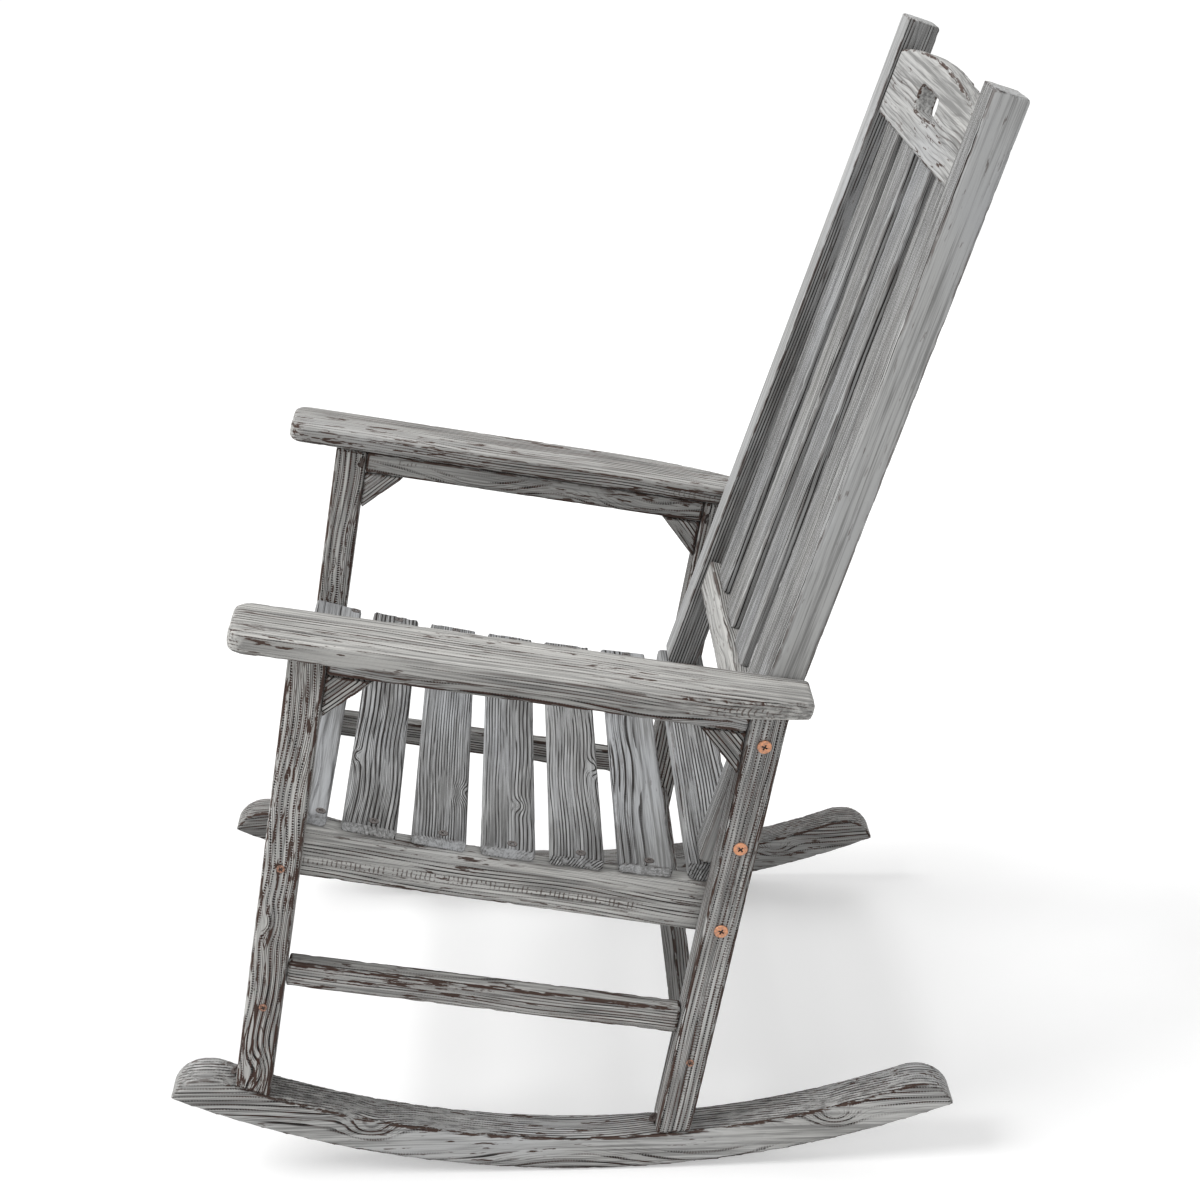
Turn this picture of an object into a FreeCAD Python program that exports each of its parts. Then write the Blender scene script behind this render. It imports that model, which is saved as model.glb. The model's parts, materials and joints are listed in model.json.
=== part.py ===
import FreeCAD, Part
import math
import os

os.makedirs("parts", exist_ok=True)

# The chair is laid out square to its own frame: x across with the sitter's left positive,
# y from front to back, z up along the legs. The origin is the point where the runners touch
# the floor. At the end every piece is leaned back by restTilt about that point.
vec = FreeCAD.Vector

# Overall layout
restTilt = 9.9
frameHalfWidth = 306.0
legThickness = 43.0
legDepth = 39.0
legInnerX = frameHalfWidth - legThickness
legMiddleX = frameHalfWidth - legThickness / 2
frontLegY = -413.0
rearLegY = 54.5
legEase = 3.0
boardEase = 2.0

# Runners
runnerRadius = 1052.0
runnerDepth = 45.0
runnerFrontAngle = -26.5
runnerRearAngle = 22.2
runnerNoseRadius = 40.0
runnerEase = 3.5

# Armrests with their aprons and corner blocks
armBottomZ = 596.0
armThickness = 22.0
armOverhang = 35.0
armFrontOverhang = 59.5
armRearOverhang = 21.5
armStileGap = 2.1
armCornerRadius = 18.0
armTailLength = 175.0
armTailInset = 29.0
armEase = 5.0
apronHeight = 28.0
apronOuterSetback = 2.5
apronInnerSetback = 0.5
blockOuterSetback = 3.5
blockInnerSetback = 1.5
cornerBlockLeg = 50.0

# Stretchers
sideStretcherZ = 187.5
sideStretcherHeight = 32.0
sideStretcherThickness = 21.0
crossStretcherHeight = 48.0
crossStretcherThickness = 20.0
frontCrossStretcherZ = 142.0
rearCrossStretcherZ = 136.0

# Seat
seatRailThickness = 22.0
seatRailFrontTop = 374.5
seatRailRearTop = 366.0
seatRailFrontHeight = 66.7
seatRailRearHeight = 65.4
seatDishDepth = 9.9
seatDishShare = 0.6
frontSeatRailThickness = 22.0
frontSeatRailHeight = 60.0
slatCount = 7
slatWidth = 59.0
slatFirstSetback = -0.5
slatLastSetback = 0.4
slatThickness = 14.0
slatEase = 3.0
slatEndInset = 0.5
rearSlatThickness = 22.5
rearSlatEase = 6.0

# Back
backSlope = 0.1377
stileFootLead = 13.5
stileDepth = 39.0
stileThickness = 43.0
stileInwardSlope = 0.0296
stileTopZ = 1228.0
stileEase = 2.5
stileFootRadius = 7.0
stileTopRadius = 4.0
crestPeakDrop = 16.0
crestEndDrop = 34.0
crestHeight = 73.5
crestThickness = 23.0
crestChamfer = 1.0
crestSetback = 4.0
handHoleRise = 34.5
handHoleHeight = 25.0
handHoleTopWidth = 92.0
handHoleBottomWidth = 97.0
handHoleCorner = 8.0
handHoleLip = 1.5
lowerRailRise = 133.0
lowerRailHeight = 42.0
lowerRailThickness = 24.0
lowerRailSetback = 7.0
backSlatCount = 4
backSlatWidth = 64.0
backSlatThickness = 12.0
backSlatSetback = 13.0
backSlatTongue = 10.0
tongueClearance = 0.5
cutterReach = 10.0

# Fasteners
boltHeadRadius = 7.5
boltHeadHeight = 2.6
boltShankRadius = 3.0
boltGrip = 17.0
stileBoltDrop = 38.0
stileBoltRise = 70.0
screwHeadRadius = 4.5
screwHeadHeight = 1.8
screwShankRadius = 1.8
screwGrip = 25.0
slatScrewHeadRadius = 3.7
slatScrewHeadHeight = 1.0
slatScrewGrip = 18.0
firstSlatScrewShare = 0.8
toeScrewHeadRadius = 3.5
toeScrewHeadHeight = 1.4
toeScrewLength = 45.0
toePocketClearance = 0.3
toePocketDepth = 14.0
footScrewInset = 1.5
footScrewRise = 9.0
footScrewSlant = 39.7
apronScrewInset = 7.0
apronScrewSetback = 1.5
apronScrewDrop = 18.0
apronScrewSlant = 45.0
headTopShare = 0.75
crossSlotDepth = 1.2
crossSlotReach = 0.55
crossSlotHalfWidth = 0.14

# Derived places
runnerTopRadius = runnerRadius - runnerDepth
tiltRadians = math.radians(restTilt)
arcCentreY = -runnerRadius * math.sin(tiltRadians)
arcCentreZ = runnerRadius * math.cos(tiltRadians)
frontLegBackY = frontLegY + legDepth
rearLegBackY = rearLegY + legDepth
frontLegMiddleY = frontLegY + legDepth / 2
rearLegMiddleY = rearLegY + legDepth / 2
armOuterX = frameHalfWidth + armOverhang
armFrontY = frontLegY - armFrontOverhang
armRearY = rearLegBackY + armRearOverhang
apronBottomZ = armBottomZ - apronHeight
railInnerX = legInnerX - seatRailThickness
slatHalfLength = legInnerX - slatEndInset
slatFrontY = frontLegY + slatFirstSetback
slatPitch = (rearLegBackY - slatLastSetback - slatWidth - slatFrontY) / (slatCount - 1)
backLean = math.degrees(math.atan(backSlope))
backStretch = math.sqrt(1 + backSlope ** 2)
stileFootY = rearLegY - stileFootLead
crestPeakZ = stileTopZ - crestPeakDrop
crestEndZ = stileTopZ - crestEndDrop
crestBottomZ = crestEndZ - crestHeight
handHoleBottomZ = crestBottomZ + handHoleRise
lowerRailBottomZ = seatRailRearTop + lowerRailRise


def point(y, z):
    return vec(0, y, z)


def boxBetween(x0, x1, y0, y1, z0, z1):
    return Part.makeBox(x1 - x0, y1 - y0, z1 - z0, vec(x0, y0, z0))


def prismAlongX(edges, x0, x1):
    """A closed outline in the side view, pushed across from x0 to x1."""
    face = Part.Face(Part.Wire(edges))
    face.translate(vec(x0, 0, 0))
    return face.extrude(vec(x1 - x0, 0, 0))


def polygonEdges(points):
    ends = points[1:] + points[:1]
    return [Part.makeLine(a, b) for a, b in zip(points, ends)]


def arcEdge(start, middle, end):
    return Part.Arc(start, middle, end).toShape()


def direction(edge):
    """Unit vector from one end of an edge to the other; nothing for a closed edge."""
    chord = edge.valueAt(edge.LastParameter) - edge.valueAt(edge.FirstParameter)
    return chord.normalize() if chord.Length > 0.001 else vec(0, 0, 0)


def easeAlong(shape, axis, radius, keep=None):
    """Round every edge that runs along the axis, or those that keep() picks."""
    chosen = []
    for edge in shape.Edges:
        if abs(direction(edge).dot(axis)) < 0.97:
            continue
        if keep is None or keep(edge.CenterOfMass):
            chosen.append(edge)
    return shape.makeFillet(radius, chosen)


def mirrored(shape):
    return shape.mirror(vec(0, 0, 0), vec(1, 0, 0))


def arcPoint(radius, angle):
    """A point on a runner arc, the angle taken from straight below its centre in the rest pose."""
    a = math.radians(angle) + tiltRadians
    return point(arcCentreY + radius * math.sin(a), arcCentreZ - radius * math.cos(a))


def runner():
    """Bowed runner: two arcs about one centre, a sharp toe below and a round nose above."""
    noseAngle = math.degrees(runnerNoseRadius / runnerTopRadius)
    middle = (runnerFrontAngle + runnerRearAngle) / 2
    edges = [arcEdge(arcPoint(runnerRadius, runnerFrontAngle), arcPoint(runnerRadius, middle),
                     arcPoint(runnerRadius, runnerRearAngle))]
    edges.append(arcEdge(arcPoint(runnerTopRadius, runnerFrontAngle + noseAngle),
                         arcPoint(runnerTopRadius, middle),
                         arcPoint(runnerTopRadius, runnerRearAngle - noseAngle)))
    for angle, inward in ((runnerFrontAngle, 1), (runnerRearAngle, -1)):
        cheek = runnerTopRadius + runnerNoseRadius
        diagonal = runnerNoseRadius * (1 - math.sqrt(0.5))
        shoulder = arcPoint(runnerTopRadius, angle + inward * noseAngle)
        swell = arcPoint(runnerTopRadius + diagonal,
                         angle + inward * math.degrees(diagonal / runnerTopRadius))
        foot = arcPoint(cheek, angle)
        edges.append(arcEdge(shoulder, swell, foot))
        edges.append(Part.makeLine(foot, arcPoint(runnerRadius, angle)))
    outline = Part.Wire(Part.__sortEdges__(edges))
    body = Part.Face(outline)
    body.translate(vec(legInnerX, 0, 0))
    body = body.extrude(vec(legThickness, 0, 0))
    long = [e for e in body.Edges if abs(direction(e).dot(vec(1, 0, 0))) < 0.5 and e.Length > 20]
    return body.makeFillet(runnerEase, long)


def leg(frontY):
    """Square post with eased edges, its foot scribed to the bow of the runner."""
    post = boxBetween(legInnerX, frameHalfWidth, frontY, frontY + legDepth, 0, armBottomZ)
    post = easeAlong(post, vec(0, 0, 1), legEase)
    bow = Part.makeCylinder(runnerTopRadius, 2 * legThickness,
                            vec(legInnerX - legThickness / 2, arcCentreY, arcCentreZ), vec(1, 0, 0))
    return post.common(bow)


def armrest():
    """Flat board, round at the front corners, its outer edge swept in towards the back."""
    innerX = stileOuter(armBottomZ) + armStileGap
    tailX = armOuterX - armTailInset
    tailStartY = armRearY - armTailLength
    halfTail = armTailLength / 2
    midTail = vec(armOuterX - armTailInset / 4, tailStartY + halfTail, 0)
    c = armCornerRadius
    k = c * (1 - math.sqrt(0.5))
    edges = [
        Part.makeLine(vec(armOuterX, armFrontY + c, 0), vec(armOuterX, tailStartY, 0)),
        arcEdge(vec(armOuterX, tailStartY, 0), midTail, vec(tailX, armRearY, 0)),
        Part.makeLine(vec(tailX, armRearY, 0), vec(innerX, armRearY, 0)),
        Part.makeLine(vec(innerX, armRearY, 0), vec(innerX, armFrontY + c, 0)),
        arcEdge(vec(innerX, armFrontY + c, 0), vec(innerX + k, armFrontY + k, 0),
                vec(innerX + c, armFrontY, 0)),
        Part.makeLine(vec(innerX + c, armFrontY, 0), vec(armOuterX - c, armFrontY, 0)),
        arcEdge(vec(armOuterX - c, armFrontY, 0), vec(armOuterX - k, armFrontY + k, 0),
                vec(armOuterX, armFrontY + c, 0)),
    ]
    face = Part.Face(Part.Wire(edges))
    face.translate(vec(0, 0, armBottomZ))
    board = face.extrude(vec(0, 0, armThickness))
    board = easeAlong(board, vec(0, 0, 1), armEase, lambda p: p.y > armRearY - 1)
    rims = [e for e in board.Edges if abs(direction(e).z) < 0.5]
    return board.makeFillet(armEase, rims)


def apron():
    """Board under the armrest, between the two legs."""
    board = boxBetween(legInnerX + apronInnerSetback, frameHalfWidth - apronOuterSetback,
                       frontLegBackY, rearLegY, apronBottomZ, armBottomZ)
    return easeAlong(board, vec(0, 1, 0), boardEase, lambda p: p.z < apronBottomZ + 1)


def cornerBlock(legY, inward):
    """Right-angled block in the corner of a leg and the apron."""
    corner = point(legY, apronBottomZ)
    edges = polygonEdges([corner, point(legY + inward * cornerBlockLeg, apronBottomZ),
                          point(legY, apronBottomZ - cornerBlockLeg)])
    block = prismAlongX(edges, legInnerX + blockInnerSetback, frameHalfWidth - blockOuterSetback)
    slope = vec(0, inward, 1).normalize()
    return easeAlong(block, slope, boardEase)


def sideStretcher():
    """Low board between the front and rear legs, on the middle line of their thickness."""
    innerX = legMiddleX - sideStretcherThickness / 2
    board = boxBetween(innerX, innerX + sideStretcherThickness, frontLegBackY, rearLegY,
                       sideStretcherZ, sideStretcherZ + sideStretcherHeight)
    return easeAlong(board, vec(0, 1, 0), boardEase)


def crossStretcher(legY, bottomZ):
    """Low board from the left leg to the right one, on the middle line of the legs."""
    middleY = legY + legDepth / 2
    half = crossStretcherThickness / 2
    board = boxBetween(-legInnerX, legInnerX, middleY - half, middleY + half,
                       bottomZ, bottomZ + crossStretcherHeight)
    return easeAlong(board, vec(1, 0, 0), boardEase)


railFrontTop = point(frontLegY, seatRailFrontTop)
railRearTop = point(rearLegBackY, seatRailRearTop)
railDishLow = railFrontTop + (railRearTop - railFrontTop) * seatDishShare - vec(0, 0, seatDishDepth)
dish = arcEdge(railFrontTop, railDishLow, railRearTop).Curve


def dishHeight(y):
    """Height of the dished top edge of the seat rails."""
    return dish.Center.z - math.sqrt(dish.Radius ** 2 - (y - dish.Center.y) ** 2)


def seatRail():
    """Rail inside the legs, its top edge dished for the slats."""
    rearBottom = railRearTop - vec(0, 0, seatRailRearHeight)
    frontBottom = railFrontTop - vec(0, 0, seatRailFrontHeight)
    edges = [arcEdge(railFrontTop, railDishLow, railRearTop), Part.makeLine(railRearTop, rearBottom),
             Part.makeLine(rearBottom, frontBottom), Part.makeLine(frontBottom, railFrontTop)]
    rail = prismAlongX(edges, railInnerX, legInnerX)
    middleZ = (frontBottom.z + railFrontTop.z) / 2
    under = [e for e in rail.Edges if abs(direction(e).y) > 0.9 and e.CenterOfMass.z < middleZ]
    return rail.makeFillet(boardEase, under)


def slatChord(index):
    """The two points where the lower edges of a seat slat rest on the dish."""
    y0 = slatFrontY + index * slatPitch
    y1 = y0 + slatWidth
    return point(y0, dishHeight(y0)), point(y1, dishHeight(y1))


def frontSeatRail():
    """Hidden board between the seat rails, under the first slat, on the middle line of the front legs."""
    half = frontSeatRailThickness / 2
    start, end = slatChord(0)
    backY = frontLegMiddleY + half
    topZ = start.z + (end.z - start.z) * (backY - start.y) / (end.y - start.y)
    board = boxBetween(-railInnerX, railInnerX, frontLegMiddleY - half, backY,
                       topZ - frontSeatRailHeight, topZ)
    return easeAlong(board, vec(1, 0, 0), boardEase)


def seatSlat(index):
    """Slat laid as a chord across the dish of the rails; the last is thicker and carries the back."""
    last = index == slatCount - 1
    thickness = rearSlatThickness if last else slatThickness
    start, end = slatChord(index)
    angle = math.degrees(math.atan2(end.z - start.z, end.y - start.y))
    board = boxBetween(-slatHalfLength, slatHalfLength, 0, slatWidth, 0, thickness)
    lip = [e for e in board.Edges if abs(direction(e).x) > 0.9
           and e.CenterOfMass.z < thickness / 2 and e.CenterOfMass.y < slatWidth / 2]
    board = board.makeFillet(rearSlatEase if last else slatEase, lip)
    board = easeAlong(board, vec(1, 0, 0), slatEase,
                      lambda p: p.z > thickness - 0.1 or p.y > slatWidth - 0.1)
    board.rotate(vec(0, 0, 0), vec(1, 0, 0), angle)
    board.translate(start)
    return board


def rearSlatTop(y):
    """Height of the top face of the last slat."""
    start, end = slatChord(slatCount - 1)
    slope = (end.z - start.z) / (end.y - start.y)
    return start.z + rearSlatThickness * math.sqrt(1 + slope ** 2) + slope * (y - start.y)


stileFootZ = rearSlatTop(stileFootY)


def backFront(z):
    """Where the front face of the stiles is at a height."""
    return stileFootY + backSlope * (z - stileFootZ)


def stileOuter(z):
    """Outer face of the left stile at a height: flush with the leg's inner face at the foot."""
    return legInnerX - stileInwardSlope * (z - stileFootZ)


def backPlanePoint(setback, z):
    return point(backFront(z) + setback * backStretch, z)


def backSheet(front, thickness, bottomZ, topZ):
    """Side outline of a board in the leaning back: front face set back, ends cut square to it."""
    drop = thickness * math.sin(math.atan(backSlope))
    run = thickness * math.cos(math.atan(backSlope))
    a = backPlanePoint(front, bottomZ)
    b = backPlanePoint(front, topZ)
    return [a, point(a.y + run, a.z - drop), point(b.y + run, b.z - drop), b]


def roundedPolygon(points, radii):
    """Closed outline through the points, its corners rounded by the radii, zero for a sharp one."""
    starts = []
    ends = []
    arcs = []
    for i, corner in enumerate(points):
        before = (points[i - 1] - corner).normalize()
        after = (points[(i + 1) % len(points)] - corner).normalize()
        radius = radii[i]
        if radius == 0:
            starts.append(corner)
            ends.append(corner)
            continue
        half = before.getAngle(after) / 2
        reach = radius / math.tan(half)
        middle = (before + after).normalize() * (radius / math.sin(half) - radius)
        starts.append(corner + before * reach)
        ends.append(corner + after * reach)
        arcs.append(arcEdge(starts[-1], corner + middle, ends[-1]))
    lines = [Part.makeLine(ends[i], starts[(i + 1) % len(points)]) for i in range(len(points))]
    return Part.__sortEdges__(lines + arcs)


def stile():
    """Back post, leaning back and a little inward, standing on the last seat slat."""
    side = backSheet(0, stileDepth, stileFootZ, stileTopZ)
    side[1] = stileFootBack()
    post = prismAlongX(roundedPolygon(side, (stileFootRadius, 0, stileTopRadius, 0)), 0, frameHalfWidth)
    low = stileFootZ - stileDepth
    high = stileTopZ + stileDepth
    inward = stileThickness * math.sqrt(1 + stileInwardSlope ** 2)
    corners = [vec(stileOuter(low), 0, low), vec(stileOuter(high), 0, high),
               vec(stileOuter(high) - inward, 0, high), vec(stileOuter(low) - inward, 0, low)]
    slab = Part.Face(Part.Wire(polygonEdges(corners))).extrude(vec(0, frameHalfWidth, 0))
    post = post.common(slab)
    outline = [e for e in post.Edges if abs(direction(e).x) < 0.5 and e.Length > stileDepth / 2
               and e.CenterOfMass.z > stileFootZ + stileFootRadius]
    return post.makeFillet(stileEase, outline)


def stileFootBack():
    """The corner where the rear face of the stiles meets the top of the last slat."""
    slatSlope = rearSlatTop(1) - rearSlatTop(0)
    behind = backPlanePoint(stileDepth, stileFootZ)
    drop = (behind.z - rearSlatTop(behind.y)) / (1 - slatSlope * backSlope)
    return behind - vec(0, drop * backSlope, drop)


def betweenStiles():
    """The space between the two stiles, used to trim the rails of the back."""
    low = stileFootZ - stileDepth
    high = stileTopZ + stileDepth
    inward = stileThickness * math.sqrt(1 + stileInwardSlope ** 2)
    halfLow = stileOuter(low) - inward
    halfHigh = stileOuter(high) - inward
    corners = [vec(-halfLow, 0, low), vec(halfLow, 0, low), vec(halfHigh, 0, high), vec(-halfHigh, 0, high)]
    return Part.Face(Part.Wire(polygonEdges(corners))).extrude(vec(0, frameHalfWidth, 0))


def leaned(shape):
    """Turn a shape drawn on the upright plane y = 0 into the leaning plane of the back."""
    shape.rotate(vec(0, 0, 0), vec(1, 0, 0), -backLean)
    return shape


def alongBack(z):
    """Distance up the leaning face, from the front of the stiles' feet to a height."""
    return (z - stileFootZ) * backStretch


def placeOnBack(shape, setback):
    """Carry a shape drawn with its front on y = 0 and z along the back to the front of the back."""
    shape.translate(vec(0, setback, 0))
    leaned(shape)
    shape.translate(vec(0, stileFootY, stileFootZ))
    return shape


def crestRail():
    """Arched crest between the stiles, pierced by a hand hole, grooved below for the slats."""
    half = stileOuter(crestEndZ)
    bottom = alongBack(crestBottomZ)
    ends = alongBack(crestEndZ)
    peak = alongBack(crestPeakZ)
    inner = stileOuter(crestEndZ) - stileThickness
    sagRadius = (inner ** 2 + (peak - ends) ** 2) / (2 * (peak - ends))
    wide = peak - sagRadius + math.sqrt(sagRadius ** 2 - half ** 2)
    edges = [arcEdge(vec(-half, 0, wide), vec(0, 0, peak), vec(half, 0, wide)),
             Part.makeLine(vec(half, 0, wide), vec(half, 0, bottom)),
             Part.makeLine(vec(half, 0, bottom), vec(-half, 0, bottom)),
             Part.makeLine(vec(-half, 0, bottom), vec(-half, 0, wide))]
    board = Part.Face(Part.Wire(edges)).extrude(vec(0, crestThickness, 0))
    rims = [e for e in board.Edges if abs(direction(e).x) > 0.9]
    board = board.makeChamfer(crestChamfer, rims)
    board = board.cut(handHole())
    holeLow = alongBack(handHoleBottomZ) - 1
    holeHigh = holeLow + handHoleHeight + 2
    lips = [e for e in board.Edges if abs(e.CenterOfMass.x) < handHoleBottomWidth
            and e.Length < handHoleBottomWidth and holeLow < e.CenterOfMass.z < holeHigh
            and abs(direction(e).y) < 0.5]
    board = board.makeChamfer(handHoleLip, lips)
    groove = boxBetween(-half, half, backSlatSetback - crestSetback,
                        backSlatSetback - crestSetback + backSlatThickness,
                        bottom - boardEase, bottom + backSlatTongue)
    board = board.cut(groove)
    return placeOnBack(board, crestSetback).common(betweenStiles())


def handHole():
    """Rounded keystone opening, wider at the bottom."""
    bottom = alongBack(handHoleBottomZ)
    top = bottom + handHoleHeight
    b = handHoleBottomWidth / 2
    t = handHoleTopWidth / 2
    outline = polygonEdges([vec(-b, 0, bottom), vec(b, 0, bottom), vec(t, 0, top), vec(-t, 0, top)])
    hole = Part.Face(Part.Wire(outline)).extrude(vec(0, crestThickness + 2 * cutterReach, 0))
    hole.translate(vec(0, -cutterReach, 0))
    return easeAlong(hole, vec(0, 1, 0), handHoleCorner)


def lowerBackRail():
    """Board between the stiles on which the slats of the back stand."""
    bottom = alongBack(lowerRailBottomZ)
    half = stileOuter(lowerRailBottomZ)
    board = boxBetween(-half, half, 0, lowerRailThickness, bottom, bottom + lowerRailHeight)
    board = easeAlong(board, vec(1, 0, 0), boardEase)
    return placeOnBack(board, lowerRailSetback).common(betweenStiles())


def slatCentre(index, z):
    """Centre line of a back slat: equal gaps between the stiles at every height."""
    clear = 2 * (stileOuter(z) - stileThickness)
    gap = (clear - backSlatCount * backSlatWidth) / (backSlatCount + 1)
    return -clear / 2 + gap + backSlatWidth / 2 + index * (backSlatWidth + gap)


def backSlat(index):
    """Upright slat of the back, fanning out a little towards the seat."""
    lowZ = lowerRailBottomZ + lowerRailHeight
    low = alongBack(lowerRailBottomZ) + lowerRailHeight
    high = alongBack(crestBottomZ) + backSlatTongue - tongueClearance
    lowX = slatCentre(index, lowZ)
    highX = slatCentre(index, crestBottomZ)
    fan = math.degrees(math.atan2(highX - lowX, high - low))
    half = backSlatWidth / 2
    board = boxBetween(-half, half, 0, backSlatThickness, -half, high - low + half)
    board = easeAlong(board, vec(0, 0, 1), boardEase)
    board.rotate(vec(0, 0, 0), vec(0, 1, 0), fan)
    board.translate(vec(lowX, 0, low))
    trim = boxBetween(-frameHalfWidth, frameHalfWidth, 0, backSlatThickness, low, high)
    return placeOnBack(board.common(trim), backSlatSetback)


def crossRecess(radius):
    """Four-armed driver recess, drawn on z = 0 and going down."""
    reach = radius * crossSlotReach
    arm = radius * crossSlotHalfWidth
    one = boxBetween(-reach, reach, -arm, arm, -crossSlotDepth, crossSlotDepth)
    two = boxBetween(-arm, arm, -reach, reach, -crossSlotDepth, crossSlotDepth)
    return one.fuse(two)


def headedScrew(headRadius, headHeight, shankRadius, length, recessed=True):
    """Bevelled head above z = 0, its shank below."""
    head = Part.makeCone(headRadius, headRadius * headTopShare, headHeight)
    if recessed:
        recess = crossRecess(headRadius)
        recess.translate(vec(0, 0, headHeight))
        head = head.cut(recess)
    shank = Part.makeCylinder(shankRadius, length, vec(0, 0, -length))
    return head.fuse(shank).removeSplitter()


def pointed(shape, place, axis):
    """Turn a screw drawn along z so that its head faces along the axis, at the place."""
    turn = FreeCAD.Rotation(vec(0, 0, 1), axis)
    shape.Placement = FreeCAD.Placement(place, turn)
    return shape


def bored(wood, screws):
    """Cut the places of the screws out of the wood they pass through."""
    for screw in screws:
        wood = wood.cut(screw)
    return wood


def sideBolt(z, grip):
    """Bolt through the middle of the left rear leg, reaching a grip into what is behind it."""
    bolt = headedScrew(boltHeadRadius, boltHeadHeight, boltShankRadius, legThickness + grip)
    return pointed(bolt, vec(frameHalfWidth, rearLegMiddleY, z), vec(1, 0, 0))


def sideScrew(y, z, grip):
    """Screw through the middle of a left leg, reaching a grip into what is behind it."""
    screw = headedScrew(screwHeadRadius, screwHeadHeight, screwShankRadius, legThickness + grip)
    return pointed(screw, vec(frameHalfWidth, y, z), vec(1, 0, 0))


def toeScrew(place, axis):
    """Slanting screw, its head sunk in a round pocket; gives the screw and what is bored for it."""
    screw = headedScrew(toeScrewHeadRadius, toeScrewHeadHeight, screwShankRadius, toeScrewLength, False)
    pocket = Part.makeCylinder(toeScrewHeadRadius + toePocketClearance, toePocketDepth, vec(0, 0, 0))
    shank = Part.makeCylinder(screwShankRadius, toeScrewLength, vec(0, 0, -toeScrewLength))
    return pointed(screw, place, axis), pointed(pocket.fuse(shank), place, axis)


def slatScrew(index):
    """Screw through the end of a seat slat into the middle of the rail below it."""
    start, end = slatChord(index)
    along = (end - start).normalize()
    up = vec(0, -along.z, along.y)
    share = firstSlatScrewShare if index == 0 else 0.5
    place = start + along * (slatWidth * share) + up * slatThickness
    place.x = legInnerX - seatRailThickness / 2
    screw = headedScrew(slatScrewHeadRadius, slatScrewHeadHeight, screwShankRadius,
                        slatThickness + slatScrewGrip, False)
    return pointed(screw, place, up)


def footHeight(y):
    """Height of the top of the runners, where the legs stand on them."""
    return arcCentreZ - math.sqrt(runnerTopRadius ** 2 - (y - arcCentreY) ** 2)


def gathered(shapes):
    return Part.makeCompound(shapes + [mirrored(s) for s in shapes])


pieces = {}


def addPair(name, shape):
    pieces[name + "_left"] = shape
    pieces[name + "_right"] = mirrored(shape)


footSlant = math.radians(footScrewSlant)
footScrewAxis = vec(0, -math.sin(footSlant), math.cos(footSlant))
footScrews = []
footBores = []
for legY in (frontLegY, rearLegY):
    entry = vec(legMiddleX, legY + footScrewInset, footHeight(legY) + footScrewRise)
    screw, bore = toeScrew(entry, footScrewAxis)
    footScrews.append(screw)
    footBores.append(bore)

apronSlant = math.radians(apronScrewSlant)
apronScrews = []
apronBores = []
for legY, towards in ((frontLegBackY - apronScrewInset, 1), (rearLegY + apronScrewInset, -1)):
    entry = vec(legInnerX + apronScrewSetback, legY, armBottomZ - apronScrewDrop)
    screw, bore = toeScrew(entry, vec(-math.cos(apronSlant), -towards * math.sin(apronSlant), 0))
    apronScrews.append(screw)
    apronBores.append(bore)

rearRailZ = seatRailRearTop - seatRailRearHeight / 2
frontRailZ = seatRailFrontTop - seatRailFrontHeight / 2
seatBolt = sideBolt(rearRailZ, boltGrip)
stileBolts = [sideBolt(seatRailRearTop + stileBoltRise, boltGrip + stileThickness / 2),
              sideBolt(armBottomZ - stileBoltDrop, boltGrip + stileThickness / 2)]
railScrew = sideScrew(frontLegMiddleY, frontRailZ, seatRailThickness + screwGrip)
frontStretcherScrew = sideScrew(frontLegMiddleY, frontCrossStretcherZ + crossStretcherHeight / 2, screwGrip)
rearStretcherScrew = sideScrew(rearLegMiddleY, rearCrossStretcherZ + crossStretcherHeight / 2, screwGrip)
slatScrews = [slatScrew(i) for i in range(slatCount - 1)]

addPair("runner", bored(runner(), footBores))
frontBores = [railScrew, frontStretcherScrew, footBores[0], apronBores[0]]
addPair("front_leg", bored(leg(frontLegY), frontBores))
rearBores = [seatBolt, rearStretcherScrew, footBores[1], apronBores[1]] + stileBolts
addPair("rear_leg", bored(leg(rearLegY), rearBores))
addPair("armrest", armrest())
addPair("arm_apron", bored(apron(), apronBores))
addPair("corner_block_front", cornerBlock(frontLegBackY, 1))
addPair("corner_block_rear", cornerBlock(rearLegY, -1))
addPair("side_stretcher", sideStretcher())
addPair("seat_rail", bored(seatRail(), [seatBolt, railScrew] + slatScrews))
addPair("back_stile", bored(stile(), stileBolts))

for name, legY, z, screw in (("cross_stretcher_front", frontLegY, frontCrossStretcherZ, frontStretcherScrew),
                             ("cross_stretcher_rear", rearLegY, rearCrossStretcherZ, rearStretcherScrew)):
    pieces[name] = bored(crossStretcher(legY, z), [screw, mirrored(screw)])

pieces["front_seat_rail"] = bored(frontSeatRail(), [railScrew, mirrored(railScrew)])
for i in range(slatCount):
    screws = slatScrews[i:i + 1]
    pieces["seat_slat_%d" % (i + 1)] = bored(seatSlat(i), screws + [mirrored(s) for s in screws])

pieces["crest_rail"] = crestRail()
pieces["lower_back_rail"] = lowerBackRail()
for i in range(backSlatCount):
    pieces["back_slat_%d" % (i + 1)] = backSlat(i)

pieces["frame_bolts"] = gathered([seatBolt] + stileBolts)
pieces["frame_screws"] = gathered([railScrew, frontStretcherScrew, rearStretcherScrew])
pieces["slat_screws"] = gathered(slatScrews)
pieces["foot_screws"] = gathered(footScrews)
pieces["apron_screws"] = gathered(apronScrews)

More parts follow.
